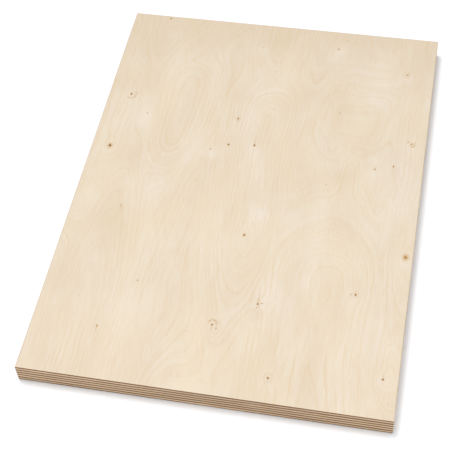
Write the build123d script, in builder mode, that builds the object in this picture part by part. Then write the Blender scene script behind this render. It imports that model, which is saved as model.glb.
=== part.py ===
"""Birch plywood sheet cut to a small panel: peeled veneers, hot-pressed, each with its grain across the next.

Frame: the origin is the middle of the underside. X runs across the face grain, Y along it, and Z up through
the plies.
"""

import os

from build123d import *

# Driving dimensions, in millimetres
sheet_width = 250.0  # across the face grain
sheet_length = 350.0  # along the face grain
ply_count = 11  # an odd number, so the grain of the face and of the back runs the same way
core_veneer = 1.4  # one veneer inside the sheet, after pressing
face_veneer = 1.2  # the face or the back veneer, after sanding
arris = 0.3  # radius that a sanding block leaves on the face's and the back's sharp edges

core_count = ply_count - 2
sheet_thickness = core_count * core_veneer + 2 * face_veneer


def core_name(order):
    """A core veneer's name, counted from the back up: cross grain first, then long grain, by turns."""
    if order % 2 == 0:
        return f"cross_ply_{order // 2 + 1}"
    return f"long_ply_{order // 2 + 1}"


# Back veneer, with long grain: its lower edges are eased
with BuildPart() as back_ply:
    with BuildSketch(Plane.XY):
        Rectangle(sheet_width, sheet_length)
    extrude(amount=face_veneer)
    fillet(back_ply.faces().sort_by(Axis.Z).first.edges(), arris)
back_ply.part.label = "back_ply"

# Core veneers, each laid on the one below
core_plies = []
for order in range(core_count):
    with BuildPart() as core_ply:
        with BuildSketch(Plane.XY.offset(face_veneer + order * core_veneer)):
            Rectangle(sheet_width, sheet_length)
        extrude(amount=core_veneer)
    core_ply.part.label = core_name(order)
    core_plies.append(core_ply.part)

# Face veneer, with long grain: its upper edges are eased
with BuildPart() as face_ply:
    with BuildSketch(Plane.XY.offset(sheet_thickness - face_veneer)):
        Rectangle(sheet_width, sheet_length)
    extrude(amount=face_veneer)
    fillet(face_ply.faces().sort_by(Axis.Z).last.edges(), arris)
face_ply.part.label = "face_ply"

# One file for each ply
os.makedirs("parts", exist_ok=True)
for ply in (back_ply.part, *core_plies, face_ply.part):
    export_step(ply, f"parts/{ply.label}.step")
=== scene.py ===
"""Birch plywood sheet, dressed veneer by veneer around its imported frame.

The file is laid out as an add-on and run as a script. Meshes are in metres. The figure of the wood, its knots
and the grids of the surfaces are worked out in millimetres on the sheet's plan, with y along the face grain.
"""

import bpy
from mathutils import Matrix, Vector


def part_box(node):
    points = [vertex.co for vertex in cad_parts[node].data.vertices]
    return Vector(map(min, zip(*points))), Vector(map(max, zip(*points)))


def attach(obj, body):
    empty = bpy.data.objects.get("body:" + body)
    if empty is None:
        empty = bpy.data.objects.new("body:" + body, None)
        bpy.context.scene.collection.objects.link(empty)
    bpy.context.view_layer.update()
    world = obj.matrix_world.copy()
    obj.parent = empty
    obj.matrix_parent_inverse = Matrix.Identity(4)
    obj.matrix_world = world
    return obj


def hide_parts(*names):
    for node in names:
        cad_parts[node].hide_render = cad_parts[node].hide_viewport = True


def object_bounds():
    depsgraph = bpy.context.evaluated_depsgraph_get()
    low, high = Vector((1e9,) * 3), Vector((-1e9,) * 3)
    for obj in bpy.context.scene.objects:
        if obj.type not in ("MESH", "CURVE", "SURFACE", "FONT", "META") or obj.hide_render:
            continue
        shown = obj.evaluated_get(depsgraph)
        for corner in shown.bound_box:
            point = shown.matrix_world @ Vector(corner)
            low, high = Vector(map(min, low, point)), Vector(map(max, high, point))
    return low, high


bl_info = {
    "name": "Birch Plywood Sheet",
    "version": (1, 0, 0),
    "blender": (4, 5, 0),
    "location": "3D View > Sidebar > Plywood",
    "description": "Builds the veneers of a birch plywood sheet, with their figure, knots and sawn edges",
    "category": "Add Mesh",
}

from collections import namedtuple
from functools import partial

import bpy
import numpy as np
from bpy.props import FloatProperty, FloatVectorProperty, PointerProperty
from mathutils import Matrix, Vector

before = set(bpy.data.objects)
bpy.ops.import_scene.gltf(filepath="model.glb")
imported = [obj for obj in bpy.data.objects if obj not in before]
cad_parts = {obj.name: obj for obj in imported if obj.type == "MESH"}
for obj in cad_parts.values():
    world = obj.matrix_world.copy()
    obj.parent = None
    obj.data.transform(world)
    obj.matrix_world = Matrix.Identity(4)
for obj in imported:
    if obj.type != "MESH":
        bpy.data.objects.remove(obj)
cad_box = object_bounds()

MM = 0.001
BODY = "root"
FLOOR = -0.1 * MM  # just under the sheet, so the two faces don't lie in one plane
SENSOR = 36.0  # width of the camera's sensor in millimetres
UP, DOWN = 1, -1

# Sockets go by number where names repeat: a mix node's factor, two numbers and two colours, a math node's
# operands, and a map range's value, the two ends that it comes from and the two that it goes to, from 0 to 4
FACTOR, FIRST_NUMBER, SECOND_NUMBER, FIRST, SECOND = 0, 2, 3, 6, 7

# Figure of the outer veneers, in millimetres

# A ridge is a hump of the log that the peeling knife cut through. It has the place of its crest line at y = 0
# and that line's lean, the two ends of the level crest, the way along y for each ring that the crest falls
# past its low and its high end and the rings that it falls there in all, the rings cut at the crest, the way
# across for the first ring and how that grows along y, how flat the crest is, and how blunt the arches are.
Ridge = namedtuple(
    "Ridge",
    "x lean low high fall_low fall_high drop_low drop_high rings width taper flat blunt",
)

# A bell over an ellipse: its place, half its width and length, and its height
Bell = namedtuple("Bell", "x y width length height")

# A knot has the radii of its dark core, its tan stain and the thin tan ring round it, the length of its
# streak along the grain (negative if it runs down the sheet), the rings that bulge round it, the share of
# pale colour below it, which is pale wood and the painted sheen of swirled fibres, and the side where its
# ring is drawn, in degrees from x, if it isn't drawn all round. A bud trace is a knot with no more than a
# core and a stain.
Knot = namedtuple("Knot", "x y core stain ring tail bulge pale side", defaults=(0, 0, 0, 0, None))

# All of one veneer's figure, with the seeds of its uneven growth and of its sanding
Figure = namedtuple("Figure", "seed sanding ridges swells knots buds pale dull")

OFF_SHEET = 400  # past any edge

FACE = Figure(
    seed=3,
    sanding=31,
    ridges=(
        # long cathedral in the middle, with arches at both ends, and the tongue that hangs above it
        Ridge(4.5, 0.0, -45, 84, 20, 9.5, 5.0, 6.0, 5.45, 8.0, 0.010, 1.30, 1.55),
        Ridge(1.0, 0.0, 146, OFF_SHEET, 10.5, 50, 5.0, 1.0, 4.40, 9.0, 0.0, 1.30, 1.55),
        # long drop left of the middle
        Ridge(-63.5, 0.02, 38, 110, 11, 9, 4.0, 3.0, 3.40, 9.5, 0.025, 1.50, 1.50),
        # cathedrals at the near left and the near right
        Ridge(-91.0, 0.0, -OFF_SHEET, -112, 60, 28, 1.0, 6.0, 5.45, 7.5, 0.0, 1.25, 1.50),
        Ridge(66.0, 0.0, -OFF_SHEET, -72, 60, 18, 1.0, 6.0, 5.45, 15.0, 0.0, 1.40, 1.45),
        # broad flat crest at the far right
        Ridge(67.0, 0.03, 66, 92, 16, 15, 3.0, 4.0, 2.70, 21.0, 0.0, 1.90, 2.0),
        # crests along the right and the left edge
        Ridge(121.0, 0.0, -42, 60, 28, 60, 3.0, 1.0, 4.45, 7.5, 0.0, 1.25, 2.0),
        Ridge(118.0, 0.0, -148, -128, 10, 14, 4.0, 4.0, 3.45, 7.0, 0.0, 1.20, 2.0),
        Ridge(-122.0, 0.0, -20, 150, 22, 60, 5.0, 1.0, 2.95, 7.0, 0.0, 1.25, 2.0),
        Ridge(-108.0, 0.0, 50, 98, 24, 12, 3.0, 3.0, 2.95, 6.5, 0.0, 1.20, 1.8),
        # slanting crest at the far left, and a low rise at the near edge
        Ridge(-119.0, 0.40, 138, OFF_SHEET, 10, 60, 4.0, 1.0, 2.95, 8.0, 0.0, 1.20, 2.0),
        Ridge(-10.0, 0.0, -OFF_SHEET, -180, 60, 11, 1.0, 3.5, 2.60, 12.0, 0.0, 1.30, 2.0),
    ),
    swells=(
        # waves of the broad crest's lines, and the arch below it
        Bell(50, 113, 3, 4, 0.25),
        Bell(57, 107, 3.5, 4, -0.30),
        Bell(61, 114, 3.5, 4, 0.25),
        Bell(70, 110, 4, 4, -0.15),
        Bell(55, 46, 4, 6, 0.35),
        Bell(64, 60, 4, 5, -0.25),
        Bell(75, 50, 9, 8, -0.6),
        Bell(72, 24, 6, 15, 0.9),
        # drips of the lines at the near left
        Bell(-60, -46, 3.5, 5, 0.35),
        Bell(-44, -66, 3, 5, 0.3),
        Bell(-36, -88, 3, 5, 0.3),
        # rises at the far left corner and below the middle cathedral
        Bell(-122, 160, 9, 20, 1.0),
        Bell(-1.5, -124, 6.5, 8, 1.3),
    ),
    knots=(
        Knot(-107.5, 82.0, 0.40, 0.90, 3.6, 0, 0.0, 0.3, -45),
        Knot(-111.0, 26.5, 0.60, 1.70, 0.0, -2, 0.5, 0.3),
        Knot(-34.5, 34.3, 0.05, 0.60, 0.0, 0, 0.0, 0.8),
        Knot(-21.8, 40.5, 0.38, 0.90, 0.0, -9, 0.0, 0.1),
        Knot(-19.3, 68.0, 0.34, 0.80, 2.0, -7, 0.0, 0.15),
        Knot(-2.3, 42.5, 0.42, 0.95, 0.0, 9, 0.0, 0.45),
        Knot(47.0, 155.0, 0.16, 0.70, 0.0, 0, 0.4, 0.55),
        Knot(104.3, 133.5, 0.17, 0.80, 2.2, -2, 0.4, 0.5),
        Knot(114.2, 61.0, 0.22, 0.80, 2.2, 0, 0.3, 0.3, -30),
        Knot(89.8, 32.3, 0.28, 0.55, 0.0, 0, 0.5, 0.4),
        Knot(103.0, 37.0, 0.28, 0.75, 0.0, -4, 0.0, 0.1),
        Knot(-88.3, -29.5, 0.04, 0.50, 0.0, -5, 0.0, 0.0),
        Knot(5.3, -43.0, 0.42, 0.95, 0.0, 0, 0.4, 0.3),
        Knot(119.8, -45.3, 0.36, 1.90, 2.6, -4, 0.6, 0.3),
        Knot(89.5, -82.0, 0.34, 0.85, 1.8, 0, 0.5, 0.25),
        Knot(25.0, -100.0, 0.40, 0.70, 0.0, 15, 0.5, 0.05),
        Knot(-2.5, -121.3, 0.34, 0.65, 3.0, -6, 0.0, 0.3, 80),
        Knot(-79.3, -134.5, 0.15, 0.70, 0.0, -6, 0.0, 0.0),
        Knot(41.3, -156.3, 0.42, 0.80, 2.6, -5, 0.6, 0.75),
        Knot(114.8, -145.5, 0.40, 0.75, 0.0, 5, 0.6, 0.4),
        Knot(-90.3, 63.3, 0.12, 0.50, 0.0, 0, 0.0, 0.45),
        Knot(14.0, -17.5, 0.05, 0.20, 0.0, 0, 0.0, 0.5),
        Knot(-13.3, 148.8, 0.05, 0.30, 0.0, 0, 0.0, 0.5),
    ),
    buds=(
        Knot(-95.3, 172.2, 0.34, 0.70),
        Knot(-34.8, 158.5, 0.10, 0.30),
        Knot(57.0, 85.0, 0.08, 0.45),
        Knot(56.3, 12.0, 0.08, 0.40),
        Knot(-60.8, -93.5, 0.16, 0.50),
        Knot(-98.0, -112.5, 0.10, 0.30),
        Knot(-18.8, -128.8, 0.10, 0.30),
        Knot(6.8, 81.8, 0.06, 0.30),
        Knot(0.8, 122.5, 0.06, 0.35),
        Knot(0.0, 133.8, 0.06, 0.35),
        Knot(53.0, 165.5, 0.08, 0.40),
        Knot(111.3, 62.5, 0.17, 0.55),
        Knot(86.2, -82.0, 0.05, 0.40),
        Knot(86.1, -83.3, 0.10, 0.50),
        Knot(26.9, -99.4, 0.08, 0.35),
        Knot(28.2, -98.7, 0.08, 0.45),
        Knot(24.8, -103.2, 0.12, 0.35),
        Knot(0.6, -123.9, 0.08, 0.50),
    ),
    # pale colour, of paler wood and of the painted sheen where fibres swirl
    pale=(
        # round the middle cathedral, below its arches and above them
        Bell(5, 15, 2, 5, 0.5),
        Bell(5, -15, 2.5, 3, 0.5),
        Bell(10, -29, 8, 12, 0.6),
        Bell(1, 30, 6, 8, 0.2),
        Bell(-8, 68, 8, 16, 0.3),
        Bell(0, 105, 14, 10, 0.17),
        # left
        Bell(-85, 150, 12, 20, 0.15),
        Bell(-62, 122, 9, 6, 0.2),
        Bell(-102, 68, 8, 10, 0.3),
        Bell(-47, 28, 9, 10, 0.2),
        Bell(-69, -10, 9, 28, 0.4),
        Bell(-62, -140, 9, 30, 0.25),
        # right
        Bell(70, 162, 18, 2.5, 0.15),
        Bell(44, 145, 7, 6, 0.3),
        Bell(70, 141, 18, 2.5, 0.4),
        Bell(70, 132, 18, 2.5, 0.4),
        Bell(84, 98, 10, 10, 0.2),
        Bell(70, 82, 14, 2, 0.3),
        Bell(88, 41, 6, 5, 0.5),
        Bell(109, 13, 12, 34, 0.8),
        Bell(37, -94, 8, 14, 0.4),
    ),
    dull=(
        # painted shade along the far edge and its corners, where less light reaches the far end
        Bell(0, 184, 160, 36, 0.75),
        Bell(-118, 160, 24, 40, 0.45),
        Bell(-101, 150, 14, 22, 0.4),
        Bell(-122, 92, 8, 12, 0.3),
        Bell(53, 169, 12, 6, 0.35),
        # inside the crests, and below two knots
        Bell(-94, -42, 13, 22, 0.75),
        Bell(-88, 20, 8, 18, 0.25),
        Bell(64, 87, 8, 2.0, 0.30),
        Bell(78, 88.5, 8, 2.0, 0.30),
        Bell(66, 21, 12, 9, 0.5),
        Bell(66, -135, 8, 30, 0.3),
        Bell(-1, -122, 6, 7, 0.35),
        Bell(25, -107, 5, 7, 0.35),
        Bell(35, 25, 9, 40, 0.2),
        # along the near edge and its corners
        Bell(-20, -160, 90, 22, 0.15),
        Bell(-95, -172, 25, 18, 0.45),
        Bell(124, -178, 10, 20, 0.25),
    ),
)

# The back is a plainer veneer, with long crests and few knots
BACK = Figure(
    seed=13,
    sanding=41,
    ridges=(
        Ridge(-20.0, 0.02, -60, 90, 24, 18, 5.0, 5.0, 5.4, 6.5, 0.0, 1.15, 2.0),
        Ridge(58.0, -0.02, -OFF_SHEET, 20, 60, 22, 1.0, 6.0, 5.8, 8.0, 0.0, 1.15, 2.0),
        Ridge(-84.0, 0.0, -20, OFF_SHEET, 24, 60, 6.0, 1.0, 5.2, 7.0, 0.0, 1.15, 2.0),
        Ridge(104.0, 0.0, 10, OFF_SHEET, 30, 60, 4.0, 1.0, 4.4, 6.5, 0.0, 1.15, 2.0),
    ),
    swells=(Bell(-50, -70, 4, 6, 0.6),),
    knots=(
        Knot(-40.0, -110.0, 0.40, 1.10, 2.6, 0, 0.6, 0.4),
        Knot(72.0, 96.0, 0.25, 0.80, 0.0, -7, 0.0, 0.5),
        Knot(-96.0, 34.0, 0.25, 0.80, 2.2, 0, 0.5, 0.6),
        Knot(30.0, -20.0, 0.20, 0.70, 0.0, 6, 0.0, 0.7),
    ),
    buds=(
        Knot(10.0, 130.0, 0.12, 0.40),
        Knot(-70.0, -40.0, 0.12, 0.40),
        Knot(88.0, -128.0, 0.18, 0.50),
    ),
    pale=(),
    dull=(),
)

LINES_PER_RING = 2  # one where the early wood ends and one at the end of the year
RIDGE_PASS = 0.7  # rings over which one ridge passes into the next
CREST_ROUNDING = 5.0  # way along the grain over which a level crest begins to fall
LEAST_RING_WIDTH = 2.0
NO_RIDGE = -30.0  # rings, lower than any ridge
KNOT_SWELL = 6.0  # radius of the rings' bulge round a knot
PALE_BELOW = 4.0  # way from a knot down to the middle of its pale wood and painted sheen
PALE_RADIUS = 6.5
FIBRE_PARTING = 2.4  # radius round which the fibres part at a knot
FIBRE_REACH = 9.0  # radius past which they run straight again
TAIL_CORRIDOR = 3.0  # half the width of the strip that holds a knot's streak
ALL_ROUND = 0.3  # strength of a ring that is drawn all round
SLOPE_STEP = 0.25  # way over which the slope of the rings is taken
LEAST_SLOPE = 0.03  # rings for each millimetre

# Uneven growth moves points across and along the grain and lifts the rings. Each of its swells has a height,
# the sizes of its hollows across and along, and what it adds to the veneer's seed.
GROWTH_ACROSS = ((1.6, 22, 45, 0), (0.3, 5, 14, 1))
GROWTH_ALONG = ((2.4, 18, 60, 2), (0.9, 5, 20, 3))
GROWTH_RINGS = ((0.25, 14, 60, 4),)


def waves(x, y, across, along, seed, count=20):
    """Uneven swell about one unit high: a sum of cosines whose directions and phases are drawn from the seed.

    across and along are about the sizes of its hollows on x and y.
    """
    draw = np.random.default_rng(seed)
    steps_x = draw.normal(0, 1 / across, count)
    steps_y = draw.normal(0, 1 / along, count)
    phases = draw.uniform(0, 2 * np.pi, count)
    total = np.zeros(np.shape(x))
    for step_x, step_y, phase in zip(steps_x, steps_y, phases):
        total += np.cos(step_x * x + step_y * y + phase)
    return total * np.sqrt(2 / count)


def uneven(x, y, swells, seed):
    """Sum of waves: each swell's height times its own waves."""
    return sum(height * waves(x, y, across, along, seed + step) for height, across, along, step in swells)


def bells(x, y, shapes):
    """Sum of bells: each one's height times e to the minus the squared way from it, in half widths and half
    lengths."""
    total = np.zeros(np.shape(x))
    for bell in shapes:
        total += bell.height * np.exp(-(((x - bell.x) / bell.width) ** 2) - ((y - bell.y) / bell.length) ** 2)
    return total


def ridge_height(x, y, ridge):
    """Rings cut at a point by one ridge.

    The rings at its crest, less the root of the sum of two powers: the fall of the crest past its ends, which
    levels off, and the way from the crest line in ring widths.
    """
    past_high = np.logaddexp(0, (y - ridge.high) / CREST_ROUNDING) * CREST_ROUNDING / ridge.fall_high
    past_low = np.logaddexp(0, (ridge.low - y) / CREST_ROUNDING) * CREST_ROUNDING / ridge.fall_low
    fallen = ridge.drop_high * np.tanh(past_high / ridge.drop_high)
    fallen += ridge.drop_low * np.tanh(past_low / ridge.drop_low)
    width = np.maximum(ridge.width + ridge.taper * y, LEAST_RING_WIDTH)
    across = (np.abs(x - ridge.x - ridge.lean * y) / width) ** ridge.flat
    return ridge.rings - (fallen**ridge.blunt + across**ridge.blunt) ** (1 / ridge.blunt)


def ring_count(x, y, figure):
    """Growth rings cut at a point: the smooth highest of all ridges, with swells and a bulge round each knot,
    on a plan that uneven growth has bent."""
    bent_x = x + uneven(x, y, GROWTH_ACROSS, figure.seed)
    bent_y = y + uneven(x, y, GROWTH_ALONG, figure.seed)
    total = np.full(np.shape(x), NO_RIDGE)
    for ridge in figure.ridges:
        total = np.logaddexp(total, ridge_height(bent_x, bent_y, ridge) / RIDGE_PASS)
    bulges = [Bell(k.x, k.y, KNOT_SWELL, KNOT_SWELL, k.bulge) for k in figure.knots]
    total = total * RIDGE_PASS + bells(x, y, [*figure.swells, *bulges])
    return total + uneven(x, y, GROWTH_RINGS, figure.seed)


def pale_wood_and_painted_sheen(x, y, figure):
    """Share of pale wood and painted sheen at a point: a bell over each pale place, and one below each knot,
    where fibres swirl and their sheen is painted as pale colour."""
    below = [Bell(k.x, k.y - PALE_BELOW, PALE_RADIUS, PALE_RADIUS, k.pale) for k in figure.knots]
    return np.minimum(bells(x, y, [*figure.pale, *below]), 1.0)


def fibre_place(x, y, figure):
    """Place of a point's fibre across the grain, away from all knots. Near a knot it is drawn in by a share
    that falls with the square of the distance, so the fibres part as water does round a post."""
    place = np.array(x, dtype=float)
    for knot in figure.knots:
        square = (x - knot.x) ** 2 + (y - knot.y) ** 2
        share = FIBRE_PARTING**2 / (square + FIBRE_PARTING**2) * np.exp(-square / FIBRE_REACH**2)
        place -= (x - knot.x) * share
    return place


def knot_tails(x, y, figure):
    """Strength of the streaks along the grain: in a strip at each knot it falls evenly from one to none."""
    total = np.zeros(np.shape(x))
    for knot in figure.knots:
        if knot.tail:
            along = (y - knot.y) / knot.tail
            in_strip = (np.abs(x - knot.x) < TAIL_CORRIDOR) & (along > 0)
            total = np.where(in_strip, np.clip(1 - along, 0, 1), total)
    return total


def nearest_knot(x, y, knots, name):
    """Three attributes: the way on x and y from the nearest knot with the distance, the radii of that knot,
    and the strength of its ring, which is full on the ring's side and falls with the cosine of the angle from
    there."""
    places = np.array([(k.x, k.y) for k in knots])
    radii = np.array([(k.core, k.stain, k.ring) for k in knots])
    away = np.stack([x, y], -1)[:, None] - places
    distance = np.linalg.norm(away, axis=-1)
    nearest = distance.argmin(1)
    row = np.arange(len(x))
    way = np.column_stack([away[row, nearest], distance[row, nearest]])
    all_round = np.array([k.side is None for k in knots])
    sides = np.radians([k.side or 0 for k in knots])
    turned = np.arctan2(way[:, 1], way[:, 0]) - sides[nearest]
    arc = np.where(all_round[nearest], ALL_ROUND, np.clip(ALL_ROUND + np.cos(turned), 0, 1))
    return {name: way, name + "_radii": radii[nearest], name + "_arc": arc * (radii[nearest, 2] > 0)}


def figure_attributes(points, figure):
    """What the sanded veneer's material reads at each point: the rings and their slope with the fibre's
    place, the pale wood with its painted sheen, the dull wood with the painted shade along the far edge, the
    streaks, and the nearest knot and bud trace."""
    x, y = points[:, 0], points[:, 1]
    rings = ring_count(x, y, figure)
    rise_x = ring_count(x + SLOPE_STEP, y, figure) - rings
    rise_y = ring_count(x, y + SLOPE_STEP, figure) - rings
    slope = np.maximum(np.hypot(rise_x, rise_y) / SLOPE_STEP, LEAST_SLOPE)
    return {
        "figure": np.column_stack([rings, slope, fibre_place(x, y, figure)]),
        "pale_wood_and_painted_sheen": pale_wood_and_painted_sheen(x, y, figure),
        "dull_wood_and_painted_shade": bells(x, y, figure.dull),
        "knot_tail": knot_tails(x, y, figure),
        **nearest_knot(x, y, figure.knots, "knot"),
        **nearest_knot(x, y, figure.buds, "bud"),
    }


# Surfaces, in millimetres

ARRIS_ANGLES = np.radians([30, 60, 90])  # round an eased edge, from the sanded side to the wall
SANDING_HOLLOW = (6, 30)  # size of the hollows that sanding leaves, across and along the grain
GLUE_HOLLOW = (9, 9)  # size of the glue lines' swells
GLUE_SEED = 100  # to which a glue line's number is added


def border_walk(rows, columns):
    """Row and column numbers round the border of a grid, anticlockwise from its first corner."""
    right, up = np.arange(columns - 1), np.arange(rows - 1)
    row = np.concatenate([0 * right, up, 0 * right + rows - 1, rows - 1 - up])
    column = np.concatenate([right, 0 * up + columns - 1, columns - 1 - right, 0 * up])
    return row, column


def plan_grid(half_width, half_length, spacing):
    """Even lines across and along a rectangle about the origin, about so far apart: two arrays of x and y."""
    columns = round(2 * half_width / spacing) + 1
    rows = round(2 * half_length / spacing) + 1
    across = np.linspace(-half_width, half_width, columns)
    return np.meshgrid(across, np.linspace(-half_length, half_length, rows))


def grid_points(x, y, z):
    """A grid's points at height z, which is one number or one for each point."""
    return np.stack([x, y, np.broadcast_to(z, x.shape)], -1)


def border_points(x, y, z, outset):
    """The border of a grid as a loop at height z, moved outwards by outset on each side that it lies on."""
    walk = border_walk(*x.shape)
    loop_x, loop_y = x[walk], y[walk]
    out_x = np.sign(loop_x) * (np.abs(loop_x) == np.abs(x).max())
    out_y = np.sign(loop_y) * (np.abs(loop_y) == np.abs(y).max())
    return np.stack([loop_x + out_x * outset, loop_y + out_y * outset, np.broadcast_to(z, loop_x.shape)], -1)


def closed_sheet(upper, rim, lower):
    """Points and quads of a closed sheet: an upper and a lower grid with as many lines, and between their
    borders the loops of the rim from the top down. The quads are a list: the upper side, each band of the
    rim, and the lower side."""
    rows, columns = upper.shape[:2]
    number = np.arange(rows * columns).reshape(rows, columns)
    top = np.stack([number[:-1, :-1], number[:-1, 1:], number[1:, 1:], number[1:, :-1]], -1).reshape(-1, 4)
    border = number[border_walk(rows, columns)]
    around = len(border)
    first_lower = number.size + len(rim) * around
    rim_loops = [number.size + k * around + np.arange(around) for k in range(len(rim))]
    loops = [border, *rim_loops, first_lower + border]
    bands = [np.stack([a, b, np.roll(b, -1), np.roll(a, -1)], -1) for a, b in zip(loops, loops[1:])]
    points = np.concatenate([upper.reshape(-1, 3), *rim, lower.reshape(-1, 3)])
    return points, [top, *bands, top[:, ::-1] + first_lower]


def make_piece(ply, points, sides, materials, painted, smooth, attributes):
    """An object from closed_sheet's points and sides, which stands for the ply of that name.

    painted gives each side's material by number, smooth says which sides are shaded smooth, and attributes
    holds the points' own values by name.
    """
    name = ply.replace("ply", "veneer")
    mesh = bpy.data.meshes.new(name)
    mesh.from_pydata(points * MM, [], np.concatenate(sides))
    counts = [len(side) for side in sides]
    mesh.polygons.foreach_set("material_index", np.repeat(painted, counts))
    mesh.polygons.foreach_set("use_smooth", np.repeat(smooth, counts))
    for key, values in attributes.items():
        kind, part = ("FLOAT_VECTOR", "vector") if values.ndim == 2 else ("FLOAT", "value")
        mesh.attributes.new(key, kind, "POINT").data.foreach_set(part, values.astype(np.float32).ravel())
    for material in materials:
        mesh.materials.append(material)
    mesh.update()
    piece = bpy.data.objects.new(name, mesh)
    bpy.context.scene.collection.objects.link(piece)
    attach(piece, BODY)
    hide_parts(ply)


def sheet_halves():
    """Half the sheet's width and half its length, in millimetres."""
    low, high = cad_box
    return (high.x - low.x) / 2 / MM, (high.y - low.y) / 2 / MM


def ply_levels():
    """Each ply's name with its lower and upper height in millimetres, from the back up."""
    boxes = {name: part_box(name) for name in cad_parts}
    levels = [(name, low.z / MM, high.z / MM) for name, (low, high) in boxes.items()]
    return sorted(levels, key=lambda ply: ply[1])


def glue_height(x, y, level):
    """How far the glue line under the ply of that number lies off its level: the swell times waves."""
    return bpy.context.scene.plywood_edge.glue_swell / MM * waves(x, y, *GLUE_HOLLOW, GLUE_SEED + level)


# Materials

# Sizes of their patterns in millimetres: across and along the grain, or along and up the edge. A third number
# sets a pattern in another layer of the noise. Real fibres, pores and scores are finer and wouldn't show.
CROOK = (4.0, 10.0)  # bends of a ring line
FIBRE = (0.5, 14.0)
WISP = (1.6, 6.0)  # swirls of pale fibres, with their sheen painted in
WARM_CLOUD = (30.0, 60.0)
DULL_CLOUD = (25.0, 70.0, 0.5)
CHECK = (1.0, 1.4)  # slanting checks that the lathe left in the end grain
SIDE_STREAK = (18.0, 0.25)
TINT = (110.0, 1.7)  # drift of a ply's tint
PORE = 0.25
PORE_DEPTH = 0.03
LINE_WANDER = 1.3  # way to either side that a ring line wanders
LINE_STRETCH = 40.0  # length for which it is drawn or left out
BAND_LENGTH = 45.0  # length of a streak beside the ring lines

LINE_STEP = 1.7  # cells of noise from one ring line to the next, so that each has its own stretches
BAND_STEP = 2.1  # cells of noise from one ring line to the next, so that streaks are about half as wide
ROUGH_STEPS = (1.4, 0.9, 1.0)  # cells of noise for each millimetre of a knot's uneven outline
CHECK_SLANT = 1.3  # way along the edge that a check takes through a ply
SCORE_LEAN = 0.08  # way along the edge for each millimetre up a score

# Ranges of noise that are stretched over a whole share. A noise seldom leaves the first one.
NOISE_LOW, NOISE_HIGH = 0.3, 0.7
KEPT_NOISE = (0.38, 0.66)  # where a ring line is left out and where it is drawn in full
TONE_NOISE = (0.1, 0.9)
WARM_NOISE = (0.35, 0.75)
DULL_NOISE = (0.25, 0.75)
CUT_NOISE = (0.35, 0.65)
END_FACING = (0.4, 0.6)  # shares of the normal along the fibres: side grain below them, end grain above

FAINTEST_LINE = 0.05  # share of tan
CROWDED = (0.15, 0.5)  # lines for each millimetre between which they get fainter
CROWDED_SHARE = 0.45  # of a line's tan that is left where they crowd
WARM_SHARE = 0.35
DULL_SHARE = 0.8
WISP_SHARES = (0.1, 0.75)  # of pale colour between and in the wisps
SANDED_ROUGHNESS = (0.52, 0.64)  # between and on the fibres
SAWN_ROUGHNESS = 0.75
TINT_RANGE = (0.85, 1.12)
CHECK_SHARE = 0.5  # of checks among the pores of the end grain
GLUE_COVER = 0.9  # share of a ply's colour that the glue hides

KNOT_FADE = (4.0, 6.5)  # distances between which a knot's colours fade, short of halfway to the next
GRAIN_STRETCH = 0.75  # share of the way along the grain that counts, which draws a knot out by a third
KNOT_OUTLINE = (0.75, 1.3)  # shares by which an uneven outline changes distances
CORE_EDGE = (0.6, 1.4)  # core radii between which the dark fades
STAIN_EDGE = 1.8  # stain radii at which the tan has faded
THIN_EDGE = (0.1, 0.8)  # distances from a knot's ring or streak between which its tan fades
STAIN_TAN, RING_TAN, TAIL_TAN = 0.9, 0.6, 0.5  # full shares of tan


def per_cell(across, along, up=1.0):
    """Factors that make a cell of noise so many millimetres wide, long and high."""
    return (1 / across, 1 / along, 1 / up)


def linear(code):
    """Linear red, green and blue of an sRGB hex colour."""
    share = np.array([int(code[i : i + 2], 16) for i in (1, 3, 5)]) / 255
    return tuple(np.where(share <= 0.04045, share / 12.92, ((share + 0.055) / 1.055) ** 2.4))


def opaque(colour):
    return (*colour, 1.0)


def node(tree, kind, inputs=None, **settings):
    """Adds a shader node with its settings, gives each input a value or a link, and returns its first output
    that is in use."""
    made = tree.nodes.new("ShaderNode" + kind)
    for key, value in settings.items():
        setattr(made, key, value)
    for key, value in (inputs or {}).items():
        if isinstance(value, bpy.types.NodeSocket):
            tree.links.new(value, made.inputs[key])
        else:
            made.inputs[key].default_value = value
    return next((output for output in made.outputs if output.enabled), None)


def new_material(name):
    """A material with no nodes, and the function that adds nodes to it."""
    material = bpy.data.materials.new(name)
    material.use_nodes = True
    material.node_tree.nodes.clear()
    return material, partial(node, material.node_tree)


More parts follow.
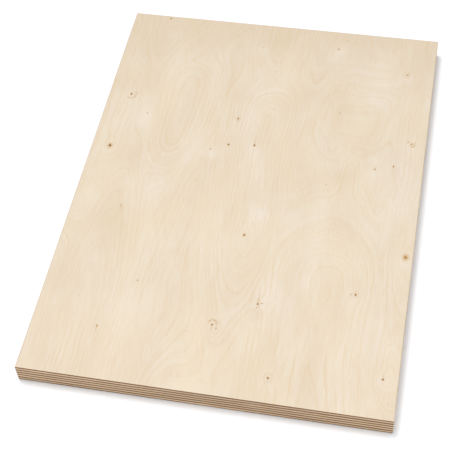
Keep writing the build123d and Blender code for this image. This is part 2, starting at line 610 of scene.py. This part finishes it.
def blemish(add, name, rough):
    """Shares of the dark core and of the tan stain, with its thin ring, of the nearest knot or bud trace.

    rough makes their outlines uneven. They fade with the distance, because the attributes change over halfway
    to the next knot.
    """
    way = add("Attribute", attribute_name=name).node.outputs["Vector"]
    reach = add("SeparateXYZ", {0: way}).node.outputs["Z"]
    radii = add("Attribute", attribute_name=name + "_radii").node.outputs["Vector"]
    core, stain, ring = add("SeparateXYZ", {0: radii}).node.outputs
    near = add("MapRange", {0: reach, 1: KNOT_FADE[0], 2: KNOT_FADE[1], 3: 1.0, 4: 0.0})
    flat = add("VectorMath", {0: way, 1: (1.0, GRAIN_STRETCH, 0.0)}, operation="MULTIPLY")
    distance = add("VectorMath", {0: flat}, operation="LENGTH").node.outputs["Value"]
    distance = add("Math", {0: distance, 1: rough}, operation="MULTIPLY")
    inner = add("Math", {0: core, 1: CORE_EDGE[0]}, operation="MULTIPLY")
    outer = add("Math", {0: core, 1: CORE_EDGE[1]}, operation="MULTIPLY")
    dark = add("MapRange", {0: distance, 1: inner, 2: outer, 3: 1.0, 4: 0.0}, interpolation_type="SMOOTHSTEP")
    dark = add("Math", {0: dark, 1: near}, operation="MULTIPLY")
    edge = add("Math", {0: stain, 1: STAIN_EDGE}, operation="MULTIPLY")
    tan = add("MapRange", {0: distance, 1: 0.0, 2: edge, 3: STAIN_TAN, 4: 0.0},
              interpolation_type="SMOOTHSTEP")
    gap = add("Math", {0: distance, 1: ring}, operation="SUBTRACT")
    gap = add("Math", {0: gap}, operation="ABSOLUTE")
    thin = add("MapRange", {0: gap, 1: THIN_EDGE[0], 2: THIN_EDGE[1], 3: RING_TAN, 4: 0.0})
    arc = add("Attribute", attribute_name=name + "_arc").node.outputs["Fac"]
    thin = add("Math", {0: thin, 1: arc}, operation="MULTIPLY")
    tan = add("Math", {0: tan, 1: thin}, operation="MAXIMUM")
    tan = add("Math", {0: tan, 1: near}, operation="MULTIPLY")
    return dark, tan


def sanded_birch(name):
    """Birch, peeled round the log and sanded.

    To the eye it is cream with a silky, nearly matt surface. Thin tan lines mark where the knife cut the
    growth rings, and faint streaks run beside them and along the fibres, which part round each knot. A knot
    has a small dark core in a tan stain, and pale wood swirls below it, with a painted sheen. Painted shade
    dulls the wood along the far edge.
    """
    look = bpy.context.scene.plywood_face
    material, add = new_material(name)
    place = add("TexCoord").node.outputs["Object"]
    at = add("VectorMath", {0: place, "Scale": 1 / MM}, operation="SCALE")
    along = add("SeparateXYZ", {0: at}).node.outputs["Y"]
    figure = add("Attribute", attribute_name="figure").node.outputs["Vector"]
    rings, slope, across = add("SeparateXYZ", {0: figure}).node.outputs

    # Ring lines: tan at each whole count of lines, less with the way from there, and the count wanders
    slope = add("Math", {0: slope, 1: LINES_PER_RING}, operation="MULTIPLY")
    cells = add("VectorMath", {0: at, 1: per_cell(*CROOK)}, operation="MULTIPLY")
    crooked = add("TexNoise", {"Vector": cells, "Scale": 1.0, "Detail": 3.0})
    crooked = add("MapRange", {0: crooked, 1: 0.0, 2: 1.0, 3: -LINE_WANDER, 4: LINE_WANDER})
    crooked = add("Math", {0: crooked, 1: slope}, operation="MULTIPLY")
    count = add("Math", {0: rings, 1: LINES_PER_RING, 2: crooked}, operation="MULTIPLY_ADD")
    off_line = add("Math", {0: count, 1: 0.5}, operation="PINGPONG")
    off_line = add("Math", {0: off_line, 1: slope}, operation="DIVIDE")
    line = add("MapRange", {0: off_line, 1: 0.0, 2: look.line_width / MM, 3: 1.0, 4: 0.0},
               interpolation_type="SMOOTHSTEP")
    # each line is kept for some stretches only
    whole = add("Math", {0: count}, operation="ROUND")
    stretch = add("CombineXYZ", {0: whole, 1: along})
    stretch = add("VectorMath", {0: stretch, 1: (LINE_STEP, 1 / LINE_STRETCH, 1.0)}, operation="MULTIPLY")
    kept = add("TexNoise", {"Vector": stretch, "Scale": 1.0, "Detail": 2.0}, noise_dimensions="2D")
    kept = add("MapRange",
               {0: kept, 1: KEPT_NOISE[0], 2: KEPT_NOISE[1], 3: FAINTEST_LINE, 4: look.line_strength})
    line = add("Math", {0: line, 1: kept}, operation="MULTIPLY")
    # and is fainter where lines crowd
    crowd = add("MapRange", {0: slope, 1: CROWDED[0], 2: CROWDED[1], 3: 1.0, 4: CROWDED_SHARE})
    line = add("Math", {0: line, 1: crowd}, operation="MULTIPLY")

    # Streaks beside the lines
    cells = add("CombineXYZ", {0: count, 1: along})
    cells = add("VectorMath", {0: cells, 1: (BAND_STEP, 1 / BAND_LENGTH, 1.0)}, operation="MULTIPLY")
    bands = add("TexNoise", {"Vector": cells, "Scale": 1.0, "Detail": 5.0, "Roughness": 0.65},
                noise_dimensions="2D")
    # Fibres, and the swirls of pale ones
    cells = add("CombineXYZ", {0: across, 1: along})
    strands = add("VectorMath", {0: cells, 1: per_cell(*FIBRE)}, operation="MULTIPLY")
    fibres = add("TexNoise", {"Vector": strands, "Scale": 1.0, "Detail": 3.0, "Roughness": 0.6},
                 noise_dimensions="2D")
    wisps = add("VectorMath", {0: cells, 1: per_cell(*WISP)}, operation="MULTIPLY")
    wisps = add("TexNoise", {"Vector": wisps, "Scale": 1.0, "Detail": 3.0, "Distortion": 0.8},
                noise_dimensions="2D")
    # Clouds of warmer and of duller wood
    cells = add("VectorMath", {0: at, 1: per_cell(*WARM_CLOUD)}, operation="MULTIPLY")
    warm = add("TexNoise", {"Vector": cells, "Scale": 1.0, "Detail": 2.0})
    cells = add("VectorMath", {0: at, 1: per_cell(*DULL_CLOUD)}, operation="MULTIPLY")
    dull = add("TexNoise", {"Vector": cells, "Scale": 1.0, "Detail": 2.0})

    # Colour of the wood, one layer over the other
    tone = add("Mix", {FACTOR: look.fibre_share, FIRST_NUMBER: bands, SECOND_NUMBER: fibres})
    tone = add("MapRange", {0: tone, 1: TONE_NOISE[0], 2: TONE_NOISE[1], 3: 0.0, 4: 1.0})
    warm = add("MapRange", {0: warm, 1: WARM_NOISE[0], 2: WARM_NOISE[1], 3: 0.0, 4: WARM_SHARE})
    # pale wood and the painted sheen of swirled fibres below knots, with its wisps
    pale = add("Attribute", attribute_name="pale_wood_and_painted_sheen").node.outputs["Fac"]
    wisps = add("MapRange", {0: wisps, 1: NOISE_LOW, 2: NOISE_HIGH, 3: WISP_SHARES[0], 4: WISP_SHARES[1]})
    wisps = add("Math", {0: wisps, 1: pale}, operation="MULTIPLY")
    colour = opaque(look.light)
    for share, wood in ((tone, look.deep), (warm, look.warm), (line, look.line), (wisps, look.pale)):
        colour = add("Mix", {FACTOR: share, FIRST: colour, SECOND: opaque(wood)}, data_type="RGBA")
    dull = add("MapRange", {0: dull, 1: DULL_NOISE[0], 2: DULL_NOISE[1], 3: 0.0, 4: DULL_SHARE})
    # the dull attribute holds duller wood and the painted shade along the far edge
    duller = add("Attribute", attribute_name="dull_wood_and_painted_shade").node.outputs["Fac"]
    dull = add("Math", {0: dull, 1: duller}, operation="ADD")
    colour = add("Mix", {FACTOR: dull, FIRST: colour, SECOND: opaque(look.dull)}, data_type="RGBA",
                 blend_type="MULTIPLY")

    # Knots, bud traces and streaks
    cells = add("VectorMath", {0: at, 1: ROUGH_STEPS}, operation="MULTIPLY")
    rough = add("TexNoise", {"Vector": cells, "Scale": 1.0, "Detail": 2.0})
    rough = add("MapRange", {0: rough, 1: NOISE_LOW, 2: NOISE_HIGH, 3: KNOT_OUTLINE[0], 4: KNOT_OUTLINE[1]})
    core, stain = blemish(add, "knot", rough)
    bud_core, bud_stain = blemish(add, "bud", rough)
    core = add("Math", {0: core, 1: bud_core}, operation="MAXIMUM")
    stain = add("Math", {0: stain, 1: bud_stain}, operation="MAXIMUM")
    way = add("Attribute", attribute_name="knot").node.outputs["Vector"]
    beside = add("Math", {0: add("SeparateXYZ", {0: way}).node.outputs["X"]}, operation="ABSOLUTE")
    tail = add("MapRange", {0: beside, 1: THIN_EDGE[0], 2: THIN_EDGE[1], 3: TAIL_TAN, 4: 0.0})
    strength = add("Attribute", attribute_name="knot_tail").node.outputs["Fac"]
    tail = add("Math", {0: tail, 1: strength}, operation="MULTIPLY")
    stain = add("Math", {0: stain, 1: tail}, operation="MAXIMUM")
    for share, wood in ((stain, look.stain), (core, look.core)):
        colour = add("Mix", {FACTOR: share, FIRST: colour, SECOND: opaque(wood)}, data_type="RGBA")

    # Surface: fibres stand a little proud and are rougher than what lies between them, and cores are sunk
    raised = add("Math", {0: fibres, 1: look.fibre_relief / MM}, operation="MULTIPLY")
    sunk = add("Math", {0: core, 1: look.core_depth / MM}, operation="MULTIPLY")
    height = add("Math", {0: raised, 1: sunk}, operation="SUBTRACT")
    bump = add("Bump", {"Height": height, "Distance": MM})
    gloss = add("MapRange",
                {0: fibres, 1: NOISE_LOW, 2: NOISE_HIGH, 3: SANDED_ROUGHNESS[0], 4: SANDED_ROUGHNESS[1]})
    shader = add("BsdfPrincipled", {"Base Color": colour, "Roughness": gloss, "Normal": bump, "IOR": 1.5})
    add("OutputMaterial", {"Surface": shader})
    return material


def sawn_ply(name, fibre_axis):
    """Birch veneer sawn through, its fibres along the axis of that name.

    Where the saw cut across the fibres, the ply is brown end grain with pores and slanting checks from the
    lathe. Where it cut along them, it is pale with streaks along the edge. A dark glue line bounds each ply,
    and the blade left faint upright scores.
    """
    edge = bpy.context.scene.plywood_edge
    material, add = new_material(name)
    coordinates = add("TexCoord").node.outputs
    at = add("VectorMath", {0: coordinates["Object"], "Scale": 1 / MM}, operation="SCALE")
    x, y, z = add("SeparateXYZ", {0: at}).node.outputs
    run = add("Math", {0: x, 1: y}, operation="ADD")
    wall = add("CombineXYZ", {0: run, 1: z})
    facing = add("SeparateXYZ", {0: coordinates["Normal"]}).node.outputs[fibre_axis]
    end = add("Math", {0: facing}, operation="ABSOLUTE")
    end = add("MapRange", {0: end, 1: END_FACING[0], 2: END_FACING[1], 3: 0.0, 4: 1.0})
    depth = add("Attribute", attribute_name="ply_depth").node.outputs["Fac"]

    # End grain: pores, and checks that slant through the ply
    pores = add("TexNoise", {"Vector": wall, "Scale": 1 / PORE, "Detail": 3.0, "Roughness": 0.7},
                noise_dimensions="2D")
    slanted = add("Math", {0: depth, 1: CHECK_SLANT, 2: run}, operation="MULTIPLY_ADD")
    slanted = add("CombineXYZ", {0: slanted, 1: z})
    slanted = add("VectorMath", {0: slanted, 1: per_cell(*CHECK)}, operation="MULTIPLY")
    checks = add("TexNoise", {"Vector": slanted, "Scale": 1.0, "Detail": 4.0, "Roughness": 0.8},
                 noise_dimensions="2D")
    cut = add("Mix", {FACTOR: CHECK_SHARE, FIRST_NUMBER: pores, SECOND_NUMBER: checks})
    cut = add("MapRange", {0: cut, 1: CUT_NOISE[0], 2: CUT_NOISE[1], 3: 0.0, 4: 1.0})
    across = add("Mix", {FACTOR: cut, FIRST: opaque(edge.end_dark), SECOND: opaque(edge.end_light)},
                 data_type="RGBA")

    # Side grain: streaks along the ply
    cells = add("VectorMath", {0: wall, 1: per_cell(*SIDE_STREAK)}, operation="MULTIPLY")
    streaks = add("TexNoise", {"Vector": cells, "Scale": 1.0, "Detail": 4.0, "Roughness": 0.6},
                  noise_dimensions="2D")
    streaks = add("MapRange", {0: streaks, 1: NOISE_LOW, 2: NOISE_HIGH, 3: 0.0, 4: 1.0})
    along = add("Mix", {FACTOR: streaks, FIRST: opaque(edge.side_light), SECOND: opaque(edge.side_dark)},
                data_type="RGBA")
    colour = add("Mix", {FACTOR: end, FIRST: along, SECOND: across}, data_type="RGBA")

    # Each ply's own tint, which drifts along the edge
    cells = add("VectorMath", {0: wall, 1: per_cell(*TINT)}, operation="MULTIPLY")
    tint = add("TexNoise", {"Vector": cells, "Scale": 1.0, "Detail": 1.0}, noise_dimensions="2D")
    tint = add("MapRange", {0: tint, 1: NOISE_LOW, 2: NOISE_HIGH, 3: TINT_RANGE[0], 4: TINT_RANGE[1]})
    colour = add("VectorMath", {0: colour, "Scale": tint}, operation="SCALE")

    # Glue lines at the ply's two faces
    off_middle = add("Math", {0: depth, 1: 0.5}, operation="SUBTRACT")
    off_middle = add("Math", {0: off_middle}, operation="ABSOLUTE")
    glue = add("MapRange", {0: off_middle, 1: 0.5 - edge.glue_share, 2: 0.5, 3: 0.0, 4: GLUE_COVER})
    colour = add("Mix", {FACTOR: glue, FIRST: colour, SECOND: opaque(edge.glue)}, data_type="RGBA")

    # Scores of the blade, nearly upright
    score = add("Math", {0: z, 1: SCORE_LEAN, 2: run}, operation="MULTIPLY_ADD")
    score = add("TexNoise", {"W": score, "Scale": MM / edge.score_pitch, "Detail": 2.0},
                noise_dimensions="1D")
    height = add("Math", {0: score, 1: edge.score_depth / MM}, operation="MULTIPLY")
    height = add("Math", {0: pores, 1: PORE_DEPTH, 2: height}, operation="MULTIPLY_ADD")
    bump = add("Bump", {"Height": height, "Distance": MM})
    shader = add("BsdfPrincipled",
                 {"Base Color": colour, "Roughness": SAWN_ROUGHNESS, "Normal": bump, "IOR": 1.45})
    add("OutputMaterial", {"Surface": shader})
    return material


def white_floor(name):
    """White paper, matt: light scatters back from it into the sheet's edges."""
    material, add = new_material(name)
    colour = opaque(bpy.context.scene.plywood_stage.floor)
    shader = add("BsdfPrincipled", {"Base Color": colour, "Roughness": 0.9, "Specular IOR Level": 0.1})
    add("OutputMaterial", {"Surface": shader})
    return material


# What a user would change


def colour_property(name, code, description):
    return FloatVectorProperty(
        name=name, description=description, subtype="COLOR", size=3, min=0.0, max=1.0, default=linear(code)
    )


def length_property(name, millimetres, description):
    return FloatProperty(name=name, description=description, unit="LENGTH", min=0.0, default=millimetres * MM)


def share_property(name, share, description):
    return FloatProperty(
        name=name, description=description, subtype="FACTOR", min=0.0, max=1.0, default=share
    )


def power_property(name, watts, description):
    return FloatProperty(name=name, description=description, unit="POWER", min=0.0, default=watts)


def place_property(name, place, description):
    return FloatVectorProperty(
        name=name, description=description, subtype="TRANSLATION", size=3, default=place
    )


class PlywoodFaceProperties(bpy.types.PropertyGroup):
    """Sizes and colours of the sanded outer veneers."""

    grid: length_property("Grid", 1.4, "Spacing of the outer veneers' grid lines")
    arris: length_property("Arris", 0.3, "Radius of the eased edges")
    relief: length_property("Relief", 0.012, "Unevenness that sanding leaves in the face")
    line_width: length_property("Ring line width", 0.9, "Way from a ring line at which its tan has faded")
    fibre_relief: length_property("Fibre relief", 0.02, "Height of the fibre streaks")
    core_depth: length_property("Core depth", 0.15, "How far the cores of knots are sunk")
    line_strength: share_property("Ring line strength", 0.26, "Share of tan in the strongest ring lines")
    fibre_share: share_property("Fibre share", 0.55, "Share of straight fibres among the streaks")
    light: colour_property("Light wood", "#DDD5CB", "Lighter streaks of the veneer")
    deep: colour_property("Deep wood", "#CDBA9A", "Darker streaks of the veneer")
    warm: colour_property("Warm wood", "#D8C7A9", "Clouds of yellower wood")
    # this colour also gives the painted shade along the far edge
    dull: colour_property("Dull wood", "#F7F2EC", "What clouds of duller wood leave of the light")
    # this colour also gives the painted sheen of swirled fibres below knots
    pale: colour_property("Pale wood", "#DFD9D1", "Swirls below knots")
    line: colour_property("Ring line", "#CDA968", "Line at each growth ring")
    stain: colour_property("Stain", "#B27E1E", "Stain and streaks at knots")
    core: colour_property("Core", "#2A1604", "Cores of knots")


class PlywoodEdgeProperties(bpy.types.PropertyGroup):
    """Sizes and colours of the sawn edges."""

    grid: length_property("Grid", 5.0, "Spacing of the core veneers' grid lines")
    glue_swell: length_property("Glue swell", 0.05, "Unevenness of the glue lines")
    recess: length_property("Recess", 0.04, "How far a ply is worn back between its glue lines")
    score_pitch: length_property("Score pitch", 0.7, "Spacing of the blade's scores")
    score_depth: length_property("Score depth", 0.05, "Depth of the blade's scores")
    glue_share: share_property("Glue share", 0.04, "Share of a ply that each glue line darkens")
    end_dark: colour_property("End grain, dark", "#6A482B", "Pores and checks of the end grain")
    end_light: colour_property("End grain, light", "#956E4A", "Wood of the end grain")
    side_dark: colour_property("Side grain, dark", "#C7A987", "Streaks of the side grain")
    side_light: colour_property("Side grain, light", "#E7CFAE", "Wood of the side grain")
    glue: colour_property("Glue", "#6B4A30", "Glue lines")


class PlywoodStageProperties(bpy.types.PropertyGroup):
    """Floor, light and camera."""

    floor: colour_property("Floor", "#F5F7FA", "White floor")
    floor_size: length_property("Floor size", 8000, "Side of the floor")
    sky: FloatProperty(name="Sky", description="Strength of the even light from all round", default=0.61)
    key_power: power_property("Key", 44.2, "Power of the lamp that casts the shadow")
    key_size: length_property("Key size", 1100, "Side of that lamp")
    key_place: place_property("Key place", (-0.54, 0.44, 2.80), "Where that lamp hangs")
    fill_power: power_property("Fill", 1.7, "Power of the lamp over the near edge")
    fill_size: length_property("Fill size", 600, "Side of that lamp")
    fill_place: place_property("Fill place", (0.15, -0.42, 0.75), "Where that lamp hangs")
    camera_place: place_property("Camera place", (0.1183, -0.5494, 0.6828), "Where the camera stands")
    camera_aim: place_property("Camera aim", (-0.0099, -0.0362, 0.015), "Point in the middle of the picture")
    camera_roll: FloatProperty(
        name="Camera roll",
        description="Turn about the line of sight",
        subtype="ANGLE",
        default=np.radians(-4.11),
    )
    lens: FloatProperty(name="Lens", description="Focal length", unit="CAMERA", default=95.15)


# Operators


def lay_outer_veneer(level, outward, figure):
    """Lays the ply of that number as an outer veneer, whose sanded side faces up or down.

    The sanded side is set in from the walls by the arris's radius and has hollows as deep as the relief. The
    arris is a quarter circle: out by the radius times the sine of the angle, and back by the radius times one
    less its cosine. The other side follows the glue line.
    """
    look = bpy.context.scene.plywood_face
    ply, low, high = ply_levels()[level]
    outer, inner, glue_line = (high, low, level) if outward == UP else (low, high, level + 1)
    half_width, half_length = sheet_halves()
    arris = look.arris / MM
    x, y = plan_grid(half_width, half_length, look.grid / MM)
    flat_x, flat_y = x * (1 - arris / half_width), y * (1 - arris / half_length)
    worn = look.relief / MM * (1 + np.tanh(waves(flat_x, flat_y, *SANDING_HOLLOW, figure.sanding))) / 2
    sanded = grid_points(flat_x, flat_y, outer - outward * worn)
    glued = grid_points(x, y, inner + glue_height(x, y, glue_line))
    rim = [
        border_points(flat_x, flat_y, outer - outward * arris * (1 - np.cos(angle)), arris * np.sin(angle))
        for angle in ARRIS_ANGLES
    ]
    # in this order: the sanded side, the bands of the arris, the wall and the glued side
    painted = [0] + [1] * (len(rim) + 2)
    smooth = [True] * (len(rim) + 1) + [False, True]
    if outward == UP:
        points, sides = closed_sheet(sanded, rim, glued)
    else:
        points, sides = closed_sheet(glued, rim[::-1], sanded)
        painted, smooth = painted[::-1], smooth[::-1]
    attributes = figure_attributes(points, figure)
    attributes["ply_depth"] = (points[:, 2] - low) / (high - low)
    side = ply.split("_")[0]
    materials = [sanded_birch(f"birch_{side}_rotary_cut_sanded"), sawn_ply(f"birch_{side}_edge_sawn", "Y")]
    make_piece(ply, points, sides, materials, painted, smooth, attributes)


class PLYWOOD_OT_lay_back(bpy.types.Operator):
    """Lays the back veneer, whose lower edges are eased"""

    bl_idname = "plywood.lay_back"
    bl_label = "Lay Back Veneer"

    def execute(self, context):
        lay_outer_veneer(0, DOWN, BACK)
        return {"FINISHED"}


class PLYWOOD_OT_lay_core(bpy.types.Operator):
    """Lays the core veneers between the back and the face"""

    bl_idname = "plywood.lay_core"
    bl_label = "Lay Core Veneers"

    def execute(self, context):
        edge = context.scene.plywood_edge
        finishes = {
            "long": sawn_ply("birch_long_grain_sawn", "Y"),
            "cross": sawn_ply("birch_cross_grain_sawn", "X"),
        }
        x, y = plan_grid(*sheet_halves(), edge.grid / MM)
        walk = border_walk(*x.shape)
        for level, (ply, low, high) in list(enumerate(ply_levels()))[1:-1]:
            lower = grid_points(x, y, low + glue_height(x, y, level))
            upper = grid_points(x, y, high + glue_height(x, y, level + 1))
            middle = border_points(x, y, (lower + upper)[walk][:, 2] / 2, -edge.recess / MM)
            points, sides = closed_sheet(upper, [middle], lower)
            depth = np.concatenate([np.ones(x.size), np.full(len(middle), 0.5), np.zeros(x.size)])
            finish = finishes[ply.split("_")[0]]
            painted, smooth = [0] * len(sides), [False] * len(sides)
            make_piece(ply, points, sides, [finish], painted, smooth, {"ply_depth": depth})
        return {"FINISHED"}


class PLYWOOD_OT_lay_face(bpy.types.Operator):
    """Lays the face veneer, whose upper edges are eased"""

    bl_idname = "plywood.lay_face"
    bl_label = "Lay Face Veneer"

    def execute(self, context):
        lay_outer_veneer(len(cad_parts) - 1, UP, FACE)
        return {"FINISHED"}


class PLYWOOD_OT_set_stage(bpy.types.Operator):
    """Sets the white floor, the light and the camera"""

    bl_idname = "plywood.set_stage"
    bl_label = "Set Stage"

    def hang_lamp(self, scene, name, power, size, place):
        """A square lamp that faces the origin."""
        light = bpy.data.lights.new(name, "AREA")
        light.energy = power
        light.size = size
        lamp = bpy.data.objects.new(name, light)
        turned = (-Vector(place)).to_track_quat("-Z", "Y").to_matrix().to_4x4()
        lamp.matrix_world = Matrix.Translation(place) @ turned
        scene.collection.objects.link(lamp)

    def execute(self, context):
        scene = context.scene
        stage = scene.plywood_stage
        half = stage.floor_size / 2
        mesh = bpy.data.meshes.new("floor")
        corners = [(-half, -half, FLOOR), (half, -half, FLOOR), (half, half, FLOOR), (-half, half, FLOOR)]
        mesh.from_pydata(corners, [], [(0, 1, 2, 3)])
        mesh.materials.append(white_floor("white_paper_matt"))
        floor = bpy.data.objects.new("floor", mesh)
        scene.collection.objects.link(floor)

        scene.world = bpy.data.worlds.new("even_white")
        scene.world.use_nodes = True
        sky = scene.world.node_tree.nodes["Background"].inputs
        sky["Color"].default_value = (1.0, 1.0, 1.0, 1.0)
        sky["Strength"].default_value = stage.sky
        self.hang_lamp(scene, "key", stage.key_power, stage.key_size, stage.key_place)
        self.hang_lamp(scene, "fill", stage.fill_power, stage.fill_size, stage.fill_place)

        lens = bpy.data.cameras.new("camera")
        lens.lens = stage.lens
        lens.sensor_width = SENSOR
        camera = bpy.data.objects.new("camera", lens)
        place, aim = Vector(stage.camera_place), Vector(stage.camera_aim)
        turned = (aim - place).to_track_quat("-Z", "Y").to_matrix().to_4x4()
        camera.matrix_world = Matrix.Translation(place) @ turned @ Matrix.Rotation(stage.camera_roll, 4, "Z")
        scene.collection.objects.link(camera)
        scene.camera = camera
        scene.view_settings.view_transform = "Standard"
        return {"FINISHED"}


class PLYWOOD_PT_sheet(bpy.types.Panel):
    """Lists the steps and what can be changed"""

    bl_idname = "PLYWOOD_PT_sheet"
    bl_label = "Birch Plywood Sheet"
    bl_space_type = "VIEW_3D"
    bl_region_type = "UI"
    bl_category = "Plywood"

    def draw(self, context):
        column = self.layout.column()
        for step in STEPS:
            column.operator(step.bl_idname)
        for group, kind in GROUPS.items():
            for name in kind.__annotations__:
                column.prop(getattr(context.scene, group), name)


GROUPS = {
    "plywood_face": PlywoodFaceProperties,
    "plywood_edge": PlywoodEdgeProperties,
    "plywood_stage": PlywoodStageProperties,
}
STEPS = (PLYWOOD_OT_lay_back, PLYWOOD_OT_lay_core, PLYWOOD_OT_lay_face, PLYWOOD_OT_set_stage)
CLASSES = (*GROUPS.values(), *STEPS, PLYWOOD_PT_sheet)


def register():
    for kind in CLASSES:
        bpy.utils.register_class(kind)
    for name, kind in GROUPS.items():
        setattr(bpy.types.Scene, name, PointerProperty(type=kind))


def unregister():
    for name in GROUPS:
        delattr(bpy.types.Scene, name)
    for kind in reversed(CLASSES):
        bpy.utils.unregister_class(kind)


def main():
    """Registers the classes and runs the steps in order."""
    register()
    bpy.ops.plywood.lay_back()
    bpy.ops.plywood.lay_core()
    bpy.ops.plywood.lay_face()
    bpy.ops.plywood.set_stage()


if __name__ == "__main__":
    main()
